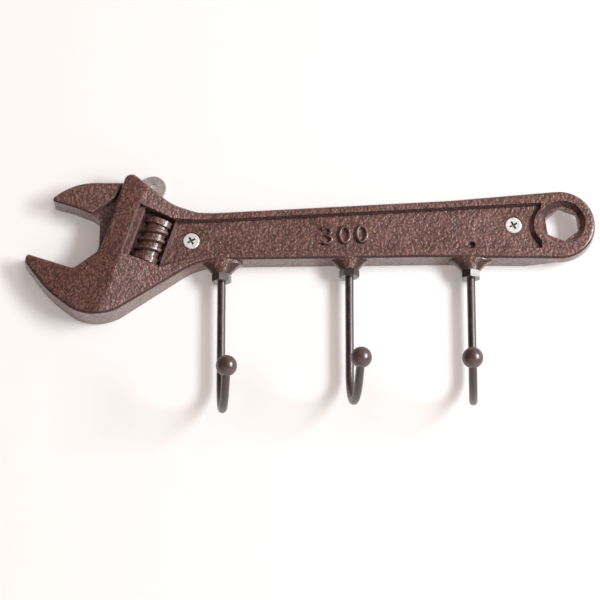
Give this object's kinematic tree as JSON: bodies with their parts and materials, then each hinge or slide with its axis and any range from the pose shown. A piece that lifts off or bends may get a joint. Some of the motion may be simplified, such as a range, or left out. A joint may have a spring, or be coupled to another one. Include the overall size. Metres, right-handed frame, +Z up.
{
  "type": "wall hook rack",
  "caption": "Cast wall rack in the shape of an adjustable wrench, with ball-ended J hooks that swivel in bosses under the handle and lock with nuts.",
  "frame": {"origin": "on the wall plane, on the casting's flat back, within 2 mm of the middle between the two wall screws", "axes": "+X to the right along the rack, +Z up, +Y into the wall; the rack stands in front of the wall towards -Y"},
  "size_m": [0.3048, 0.0855, 0.1397],
  "materials": {
    "painted_iron": "rough cast iron under thin brown paint, worn light on its edges",
    "tab_steel": "plain grey steel sheet",
    "zinc_screw": "bright zinc plate",
    "dark_rod": "glossy brown black on steel rod",
    "dark_ball": "glossy dark brown on a steel ball",
    "dark_nut": "glossy brown black with bright worn corners"
  },
  "bodies": {
    "rack": {"wrench_casting": "painted_iron", "hanging_tab": "tab_steel", "wall_screw_left": "zinc_screw", "wall_screw_right": "zinc_screw"},
    "hook_left": {"hook_rod_left": "dark_rod", "hook_ball_left": "dark_ball"},
    "nut_left": {"lock_nut_left": "dark_nut"},
    "hook_middle": {"hook_rod_middle": "dark_rod", "hook_ball_middle": "dark_ball"},
    "nut_middle": {"lock_nut_middle": "dark_nut"},
    "hook_right": {"hook_rod_right": "dark_rod", "hook_ball_right": "dark_ball"},
    "nut_right": {"lock_nut_right": "dark_nut"}
  },
  "joints": [
    {"name": "hook_left_swivel", "type": "hinge", "parent": "rack", "child": "hook_left", "pos_m": [-0.0708, -0.0065, -0.0208], "axis": [0, 0, 1], "range_deg": [-96, 84]},
    {"name": "lock_nut_left_turn", "type": "hinge", "parent": "rack", "child": "nut_left", "pos_m": [-0.0708, -0.0065, -0.0228], "axis": [0, 0, 1], "range_deg": [-360, 0]},
    {"name": "hook_middle_swivel", "type": "hinge", "parent": "rack", "child": "hook_middle", "pos_m": [-0.0028, -0.0065, -0.0185], "axis": [0, 0, 1], "range_deg": [-97.5, 82.5]},
    {"name": "lock_nut_middle_turn", "type": "hinge", "parent": "rack", "child": "nut_middle", "pos_m": [-0.0028, -0.0065, -0.0205], "axis": [0, 0, 1], "range_deg": [-360, 0]},
    {"name": "hook_right_swivel", "type": "hinge", "parent": "rack", "child": "hook_right", "pos_m": [0.0619, -0.0065, -0.0194], "axis": [0, 0, 1], "range_deg": [-87.4, 92.6]},
    {"name": "lock_nut_right_turn", "type": "hinge", "parent": "rack", "child": "nut_right", "pos_m": [0.0619, -0.0065, -0.0214], "axis": [0, 0, 1], "range_deg": [-360, 0]}
  ]
}
